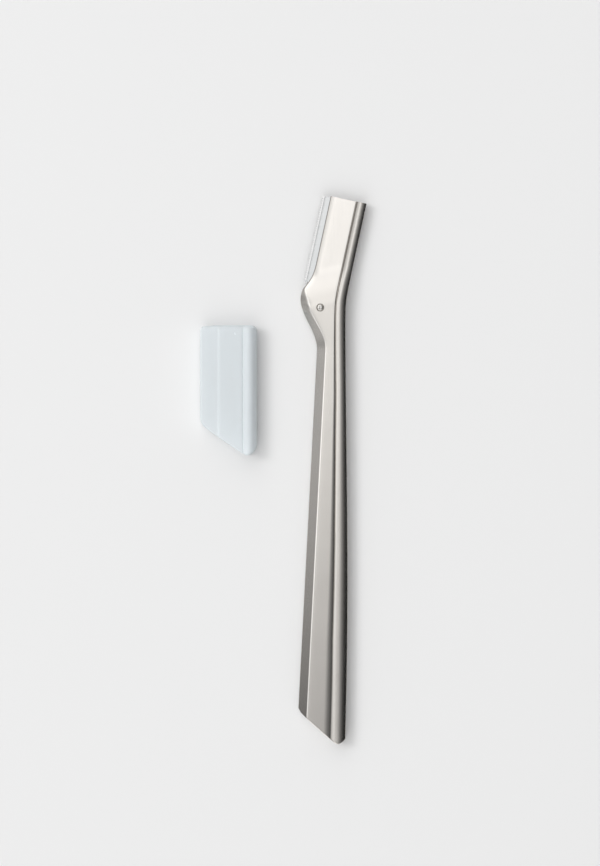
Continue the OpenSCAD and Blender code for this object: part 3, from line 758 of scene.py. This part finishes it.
def dome(height, lowest):
    """From the middle of the spun end out and down to the bottom of the groove."""
    return [(DOME_R * math.sin(a), lowest + height * math.cos(a))
            for a in (math.pi / 2 * i / DOME_STEPS for i in range(DOME_STEPS))]


rivet = turned("rivet_shank",
               dome(DOME_H, TOP) + [(NECK_R, TOP - NECK_D), (FOOT_R, TOP - SEAT_D)]
               + [(FOOT_R, -TOP + SEAT_D), (NECK_R, -TOP + BACK_NECK_D)]
               + [(r, -z) for r, z in reversed(dome(DOME_H, TOP - FIT - DOME_H))])
for vertex in rivet.data.vertices:
    x, y, z = (vertex.co - PIVOT) / MM
    press = MARK_D * math.exp(-(x / MARK_W) ** 2 - (y / MARK_L) ** 2)
    if abs(z) > TOP - SEAT_D:
        vertex.co.z -= math.copysign(press * MM, z)
seat_profile = [(FOOT_R, TOP - SEAT_D), (SEAT_R, TOP - SEAT_D - SEAT_DIP),
                (RIVET_D / 2 - LIP_W, TOP - LIP_D), (RIVET_D / 2, TOP - LIP_END_D)]
seat = turned("rivet_seat", [(0.0, TOP - SEAT_D)] + seat_profile
              + [(r, -z) for r, z in reversed(seat_profile)] + [(0.0, -TOP + SEAT_D)])
for piece in (rivet, seat):
    piece.data.materials.append(rivet_steel)
    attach(piece, "front_half")
    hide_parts("pivot_rivet")
    print(piece.name, "has", len(piece.data.polygons), "faces")

# %% [markdown]
# The blade, its guard, the two studs, and the bush and washer inside the pivot have their
# right shape in the CAD model already. They keep it and get their finish here. A perfectly
# sharp edge never catches light, and no ground or turned edge is that sharp, so a small
# bevel modifier breaks the edges of all but the guard, whose foil is too thin for one.

# %% Blade, guard and small parts from the CAD model
BREAK_STEPS, BREAK_ABOVE = 2, math.radians(40)
SMALL_PARTS = (("pivot_bush", inner_steel, 0.03), ("friction_washer", inner_steel, 0.03),
               ("blade", blade_steel, 0.02), ("blade_guard", guard_steel, 0.0),
               ("upper_stud", rivet_steel, 0.04), ("lower_stud", rivet_steel, 0.04))
for node_name, material, edge_mm in SMALL_PARTS:
    node = frame["nodes"][node_name]
    node.data.materials.clear()
    node.data.materials.append(material)
    if edge_mm:
        soften = node.modifiers.new("soft_edges", "BEVEL")
        soften.width, soften.segments = edge_mm * MM, BREAK_STEPS
        soften.limit_method, soften.angle_limit = "ANGLE", BREAK_ABOVE
    print(node_name, "finished as", material.name)


# %% [markdown]
# The cover is a cap moulded in soft low-density polyethylene, closed at one end and cut
# slantwise at the other. It has a thin side for the blade, a raised flat for the plates
# and a round ridge for the spine bead. It is lofted as the halves are, but as a cup: the
# skin runs down the outside, turns over the open rim, and comes back up the inside.

# %% Sizes of the cover, in millimetres
COVER_X, COVER_Y = 19.3, 3.7
COVER_L, COVER_SLANT, COVER_W, COVER_WALL = 27.4, 5.7, 12.0, 0.8
COVER_CORNER_R, LONG_CORNER_R = 1.2, 2.4
COVER_NOSE, INNER_NOSE = 0.9, 0.6
COVER_FIT, GUARD_T, GUARD_ROOM = 0.2, 0.12, 0.4
# Half heights of the room inside, over the blade, the plates and the bead
BLADE_HALF_H = BLADE_T / 2 + GUARD_T + GUARD_ROOM
PLATE_HALF_H = BLADE_T / 2 + FIT + SHEET_T + COVER_FIT
BEAD_HALF_H = HEAD_BEAD_H + DROP / 2 + COVER_FIT
COVER_MID_Z = BEAD_HALF_H + COVER_WALL - TOP
print("the cover is", round(2 * (BEAD_HALF_H + COVER_WALL), 2), "mm high over its ridge")


# %% [markdown]
# The cover's section is one closed loop, so the same points serve outside and inside, and
# only the wall's thickness tells them apart. The ends are drawn in plan: the closed one
# has two rounded corners, and the open one runs aslant, more rounded on its long side.

# %% Section and outline of the cover
RIDGE_STEPS, BODY_STEPS = 14, 5
# Places across, as shares of the width, and how far each corner is rounded
OUT_STEP_SHARE, FLAT_END_SHARE = -0.17, 0.235
COVER_RUNS = (0.45, 0.7, 0.7, 0.3)
RIDGE_FOOT_SHARE, SIDE_SHARE = 0.15, 0.3
OUT_RIDGE_W, MOUTH_BOW = 0.7, 1.06


def cover_section(wall, step_x, ridge_rx):
    """Closed loop of (across, height) corners, rounded, the same count inside and outside."""
    right = COVER_W / 2 - COVER_WALL + wall
    low, mid, high = (h + wall for h in (BLADE_HALF_H, PLATE_HALF_H, BEAD_HALF_H))
    start = math.pi - math.asin((mid - RIDGE_FOOT_SHARE * wall) / high)
    corners = [(-right, -low), (-right, low), (step_x - (mid - low), low), (step_x, mid),
               (FLAT_END_SHARE * COVER_W, mid)]
    ridge = [(right - ridge_rx + ridge_rx * math.cos(a), high * math.sin(a))
             for a in (mix(start, 0, i / RIDGE_STEPS) for i in range(RIDGE_STEPS + 1))]
    chain = corners + ridge[:1]
    upper = []
    for i, run in enumerate(COVER_RUNS, start=1):
        upper += rounded(chain[i - 1], chain[i], chain[i + 1], run, BODY_STEPS)
    upper = [Vector((-right, low * SIDE_SHARE))] + upper + [Vector(p) for p in ridge]
    return upper + [Vector((p.x, -p.y)) for p in reversed(upper[:-1])]


def corner_rise(reach, radius):
    """How far a corner's round has left the line, this far past the place where it starts."""
    return radius - math.sqrt(max(0, radius ** 2 - max(0, reach) ** 2))


def cover_end(x):
    """Closed end's line, with its rounded corners."""
    return -corner_rise(abs(x) - (COVER_W / 2 - COVER_CORNER_R), COVER_CORNER_R)


def cover_mouth(x):
    """Open end's slanted line, rounded more at the long side."""
    low_x, high_x = COVER_W / 2 - LONG_CORNER_R, -COVER_W / 2 + COVER_CORNER_R
    if x > low_x:
        return -COVER_L + corner_rise(x - low_x, LONG_CORNER_R)
    line = -COVER_L + COVER_SLANT * ((low_x - x) / (low_x - high_x)) ** MOUTH_BOW
    return line + corner_rise(high_x - x, COVER_CORNER_R)


OUT_LOOP = cover_section(COVER_WALL, OUT_STEP_SHARE * COVER_W, BEAD_W / 2 + OUT_RIDGE_W)
IN_STEP_X = COVER_W / 2 - COVER_WALL - 2 * COVER_FIT - BEAD_W - PLATE_W
IN_LOOP = cover_section(0.0, IN_STEP_X, BEAD_W / 2 + COVER_FIT)


def nose(distance, radius):
    """Share of the height left, this far from the closed end."""
    return math.sqrt(max(0, 1 - (1 - min(1, distance / radius)) ** 2))


def cover_ring(loop, t, inset, nose_r, lip=0.0):
    """One ring, t from the closed end (0) to the open end (1)."""
    points = []
    for p in loop:
        x = min(COVER_W / 2, max(-COVER_W / 2, p.x))
        y = mix(cover_end(x) - inset, cover_mouth(x) + lip, t)
        share = nose(cover_end(x) - inset - y, nose_r)
        points.append((p.x - COVER_X, y - COVER_Y, p.y * share + COVER_MID_Z))
    return points


print("points round the cover:", len(OUT_LOOP))

# %% [markdown]
# A moulded end isn't cut off square: it rounds down to the parting line over about a
# millimetre. The first rings stand close together there and follow that rounding. At the
# open rim, five rings turn from the outer loop to the inner one in half a circle, and the
# rest come back up the inside, to a closed end of their own.

# %% Skin of the cover
NOSE_SPOTS = [0, 0.0008, 0.003, 0.007, 0.013, 0.02, 0.028, 0.038]
BODY_SPOTS = [0.06, 0.12, 0.25, 0.4, 0.55, 0.7, 0.82, 0.9, 0.95, 0.98]
SPOTS = NOSE_SPOTS + BODY_SPOTS
RIM_TURNS, RIM_ROUND = 4, 0.3
MERGE_MM = 0.004
rings = [cover_ring(OUT_LOOP, t, 0.0, COVER_NOSE) for t in SPOTS]
for i in range(RIM_TURNS + 1):
    a = math.pi * i / RIM_TURNS
    outer, inner = (1 + math.cos(a)) / 2, (1 - math.cos(a)) / 2
    between = [outer * o + inner * q for o, q in zip(OUT_LOOP, IN_LOOP)]
    rings.append(cover_ring(between, 1.0, 0.0, COVER_NOSE, RIM_ROUND * (1 - math.sin(a))))
rings += [cover_ring(IN_LOOP, t, COVER_WALL, INNER_NOSE) for t in reversed(SPOTS)]
n = len(OUT_LOOP)
cover = show("cover_cap", [p for r in rings for p in r],
             [(k * n + i, k * n + (i + 1) % n, (k + 1) * n + (i + 1) % n, (k + 1) * n + i)
              for k in range(len(rings) - 1) for i in range(n)])
# The first and the last ring are flat, so their upper and lower points are merged
bm = bmesh.new()
bm.from_mesh(cover.data)
bmesh.ops.remove_doubles(bm, verts=bm.verts, dist=MERGE_MM * MM)
bm.to_mesh(cover.data)
print("open edges of the cover:", sum(1 for e in bm.edges if len(e.link_faces) != 2))
bm.free()
finish_mesh(cover, sharp_deg=50)


# %% [markdown]
# Low-density polyethylene is milky: light goes through it, but comes out scattered. A
# volume shader could scatter it, but it is slow and grainy in a wall this thin. Here a
# white body lets some light through, and a little of a translucent surface is mixed in,
# which gives the soft whitish look, the pale rim where walls are seen edge on, and a waxy
# highlight.

# %% Moulded polyethylene
FLOW_MM, SKIN_MM = 3, 0.25


def milky_plastic():
    m = new_material("moulded_ldpe")
    place = add(m, "ShaderNodeTexCoord")
    # Slow waves from the flow of the melt, and the skin of a blasted mould, drawn coarser
    flow = add(m, "ShaderNodeTexNoise", {"Scale": 1 / (FLOW_MM * MM), "Detail": 2.0},
               {"Vector": place.outputs["Object"]})
    skin = add(m, "ShaderNodeTexNoise", {"Scale": 1 / (SKIN_MM * MM), "Detail": 1.0},
               {"Vector": place.outputs["Object"]})
    rough = add(m, "ShaderNodeMapRange", {"To Min": 0.2, "To Max": 0.3},
                {"Value": flow.outputs["Fac"]})
    waves = add(m, "ShaderNodeBump", {"Strength": 1.0, "Distance": 0.03 * MM},
                {"Height": flow.outputs["Fac"]})
    bump = add(m, "ShaderNodeBump", {"Strength": 1.0, "Distance": 0.002 * MM},
               {"Height": skin.outputs["Fac"], "Normal": waves.outputs["Normal"]})
    clear = add(m, "ShaderNodeBsdfPrincipled",
                {"Base Color": linear("#F2F8FB"), "IOR": 1.51, "Transmission Weight": 0.22},
                {"Roughness": rough.outputs["Result"], "Normal": bump.outputs["Normal"]})
    milk = add(m, "ShaderNodeBsdfTranslucent", {"Color": linear("#FBFDFE")},
               {"Normal": bump.outputs["Normal"]})
    body = add(m, "ShaderNodeMixShader", {"Fac": 0.18},
               {1: clear.outputs["BSDF"], 2: milk.outputs["BSDF"]})
    return close(m, body.outputs["Shader"])


cover.data.materials.append(milky_plastic())
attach(cover, "cover")
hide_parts("blade_cover")
print(cover.name, "finished as", cover.data.materials[0].name)

# %% [markdown]
# The razor lies on a plain pale sheet of uncoated card. Card is matt, so it only takes the
# soft shadow, and a fine fibre relief keeps its flat tone from looking like paint.

# %% Table
FIBRE_MM = 1.1
TABLE_SIZE = 10


def pale_table():
    m = new_material("uncoated_card")
    place = add(m, "ShaderNodeTexCoord")
    # Real fibres are finer, and would vanish at this size
    fibre = add(m, "ShaderNodeTexNoise", {"Scale": 1 / (FIBRE_MM * MM), "Detail": 2.0},
                {"Vector": place.outputs["Object"]})
    bump = add(m, "ShaderNodeBump", {"Strength": 1.0, "Distance": 0.01 * MM},
               {"Height": fibre.outputs["Fac"]})
    body = add(m, "ShaderNodeBsdfPrincipled", {"Base Color": linear("#EBEBEB"), "Roughness": 0.9,
                                               "Specular IOR Level": 0.1},
               {"Normal": bump.outputs["Normal"]})
    return close(m, body.outputs["BSDF"])


bpy.ops.mesh.primitive_plane_add(size=TABLE_SIZE)
floor = bpy.context.object
floor.name = "table"
floor.data.materials.append(pale_table())
floor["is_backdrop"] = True
print("the table is", TABLE_SIZE, "m wide")

# %% [markdown]
# Polished steel has no look of its own: it shows what stands round it. So the light is the
# real subject here. One broad soft panel hangs over the blade side, fades toward the spine
# side and toward the tail, and leaves the rest of the room dim, which gives the bright
# plateau, the grey bevel and the dark flank of the bead. Real panels with flags between
# them could do this, but curves on the world are easier to shape: one runs across, and
# one along. The world is only light, and looks the same from every camera.

# %% Brightness of the studio light
# Across, by degrees from overhead toward the blade side, and along, by the direction's
# share toward the head end; low on the blade side the light runs along differently
ACROSS = [(-90, 0.04), (-70, 0.05), (-56, 0.10), (-44, 0.175), (-30, 0.32), (-15, 0.60),
          (-5, 0.86), (0, 0.93), (15, 1.0), (35, 0.98), (45, 0.75), (55, 0.38), (66, 0.30),
          (78, 0.31), (90, 0.28)]
ALONG = [(-1, 0.8), (-0.6, 0.8), (-0.4, 0.7), (-0.28, 0.42), (-0.18, 0.25), (-0.12, 0.29),
         (-0.06, 0.49), (0, 0.67), (0.048, 0.78), (0.08, 0.9), (0.12, 0.87), (0.2, 0.83),
         (0.3, 0.79), (0.42, 0.78), (0.6, 0.8), (1, 0.82)]
ALONG_LOW = [(-1, 1), (-0.3, 1), (-0.2, 0.85), (-0.13, 0.62), (-0.08, 0.7), (-0.03, 0.88),
             (0.02, 1), (1, 1)]
LOW_SHARE = [(-90, 0), (40, 0), (60, 1), (90, 1)]
# A narrow strip box beside the panel, which draws the bright line on the bend
STRIP = [(-90, 0), (14, 0), (24, 1), (40, 1), (50, 0), (90, 0)]
STRIP_LEVEL = 0.14
# Two dimmer gaps near the head end: on the panel's blade side, and on its spine side
GAP_ACROSS = [(-90, 0), (5, 0), (13, 1), (40, 1), (55, 0), (90, 0)]
GAP_ALONG = [(-1, 0), (0.05, 0), (0.12, 1), (0.25, 1), (0.4, 0), (1, 0)]
GAP_DEPTH = 0.5
SPINE_GAP_ACROSS = [(-90, 1), (-18, 1), (-4, 0), (90, 0)]
SPINE_GAP_ALONG = [(-1, 0), (0.01, 0), (0.1, 1), (1, 1)]
SPINE_GAP_DEPTH = 0.45
# Two far panels on the spine side, near both ends, light the steel for low cameras
FILL_ACROSS = [(-90, 1), (-50, 1), (-25, 0), (90, 0)]
FILL_ALONG = [(-1, 1), (-0.5, 1), (-0.32, 0), (0.32, 0), (0.5, 1), (1, 1)]
FILL_LEVEL = 0.28
LIGHT_LEVEL = 1.95
print("studio light drawn from", len(ACROSS), "and", len(ALONG), "brightness points")

# %% [markdown]
# The world's shader asks one thing only: which way does this ray go? From the direction
# come its angle across and its share along, a Float Curve node turns each into brightness,
# and the two are multiplied. The strip, the gaps and the fill are added in the same way.

# %% Studio light on the world
world = bpy.data.worlds.new("studio")
bpy.context.scene.world = world
world.use_nodes = True
world.node_tree.nodes.clear()


def curve_of(value, points):
    """A curve of a value; its points are in the value's own units, from lowest to highest."""
    low, high = points[0][0], points[-1][0]
    share = add(world, "ShaderNodeMapRange", {"From Min": low, "From Max": high}, {"Value": value})
    node = add(world, "ShaderNodeFloatCurve", links={"Value": share.outputs["Result"]})
    curve = node.mapping.curves[0]
    while len(curve.points) < len(points):
        curve.points.new(0.5, 0.5)
    for point, (x, y) in zip(curve.points, points):
        point.location = ((x - low) / (high - low), y)
    node.mapping.update()
    return node.outputs["Value"]


def combine(operation, *values):
    """A math node; a plain number is set on the node, a socket is joined to it."""
    numbers = {i: v for i, v in enumerate(values) if isinstance(v, (int, float))}
    sockets = {i: v for i, v in enumerate(values) if i not in numbers}
    return add(world, "ShaderNodeMath", {"operation": operation, **numbers}, sockets).outputs[0]


way = add(world, "ShaderNodeTexCoord")
parts = add(world, "ShaderNodeSeparateXYZ", links={"Vector": way.outputs["Generated"]})
blade_way = combine("MULTIPLY", parts.outputs["X"], -1.0)
turn = combine("DEGREES", combine("ARCTAN2", blade_way, parts.outputs["Z"]))
toward_head = parts.outputs["Y"]
lowness = curve_of(turn, LOW_SHARE)
high_part = combine("MULTIPLY", curve_of(toward_head, ALONG), combine("SUBTRACT", 1.0, lowness))
low_part = combine("MULTIPLY", curve_of(toward_head, ALONG_LOW), lowness)
panel = combine("MULTIPLY", curve_of(turn, ACROSS), combine("ADD", high_part, low_part))
for across, along, depth in ((GAP_ACROSS, GAP_ALONG, GAP_DEPTH),
                             (SPINE_GAP_ACROSS, SPINE_GAP_ALONG, SPINE_GAP_DEPTH)):
    gap = combine("MULTIPLY", curve_of(turn, across), curve_of(toward_head, along))
    panel = combine("MULTIPLY", panel, combine("MULTIPLY_ADD", gap, -depth, 1.0))
fill = combine("MULTIPLY", curve_of(turn, FILL_ACROSS), curve_of(toward_head, FILL_ALONG))
panel = combine("MULTIPLY_ADD", fill, FILL_LEVEL, panel)
lit = combine("MULTIPLY_ADD", curve_of(turn, STRIP), STRIP_LEVEL, panel)
level = combine("MULTIPLY", lit, LIGHT_LEVEL)
sky = add(world, "ShaderNodeBackground", {"Color": linear("#FFFFFF")}, {"Strength": level})
add(world, "ShaderNodeOutputWorld", links={"Surface": sky.outputs["Background"]})
print("nodes that draw the light:", len(world.node_tree.nodes))

# %% [markdown]
# Light from all round leaves hardly any shadow, and a thing without a shadow seems to
# float. A soft box from the blade side gives the table its gentle one. The steel doesn't
# mirror the box and the cover doesn't refract it, because the panel above stands for it.

# %% Soft box
LAMP_POWER, LAMP_SIZE, LAMP_AT = 4.4, 0.5, (-0.9, 0.25, 1.0)
lamp_data = bpy.data.lights.new("side_soft_box", "AREA")
lamp_data.shape, lamp_data.size = "SQUARE", LAMP_SIZE
lamp_data.energy = LAMP_POWER
lamp = bpy.data.objects.new("side_soft_box", lamp_data)
lamp.location = LAMP_AT
lamp.rotation_euler = (-lamp.location).to_track_quat("-Z", "Y").to_euler()
lamp.visible_glossy = False
lamp.visible_transmission = False
bpy.context.scene.collection.objects.link(lamp)
print("soft box of", LAMP_POWER, "W at", LAMP_AT)

# %% [markdown]
# The razor was photographed from straight above and from some distance. The camera hangs
# half a metre over it, and its lens is worked out so that one pixel is a known number of
# millimetres at the height of the front plateau. Then the pivot's place in the picture
# gives the camera's own place.

# %% Camera
PIXEL_MM = 0.2104
PIVOT_PX, PIVOT_PY = 320.25, 307.5
FRAME_W, FRAME_H = 600, 866
CAMERA_HEIGHT = 0.5
SENSOR_H = 24.0
centre = PIVOT + MM * PIXEL_MM * Vector((FRAME_W / 2 - PIVOT_PX, PIVOT_PY - FRAME_H / 2, 0))
camera_data = bpy.data.cameras.new("camera")
camera_data.sensor_fit = "VERTICAL"
camera_data.sensor_height = SENSOR_H
camera_data.lens = SENSOR_H * CAMERA_HEIGHT / (FRAME_H * PIXEL_MM * MM)
camera = bpy.data.objects.new("camera", camera_data)
camera.location = (centre.x, centre.y, PIVOT.z * 2 + CAMERA_HEIGHT)
bpy.context.scene.collection.objects.link(camera)
bpy.context.scene.camera = camera
bpy.context.scene.view_settings.view_transform = "Standard"
print("lens:", round(camera_data.lens, 1), "mm on a sensor", SENSOR_H, "mm high")

# %% [markdown]
# Last, the sizes of the CAD model and of the dressed one are written side by side, in
# millimetres. Both should agree, because the finish only dresses the solids.

# %% Sizes and finish
visual_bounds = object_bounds()
for title, box in (("CAD", cad_bounds), ("dressed", visual_bounds)):
    print(title, "bounds in mm:", [[round(v / MM, 2) for v in corner] for corner in box])
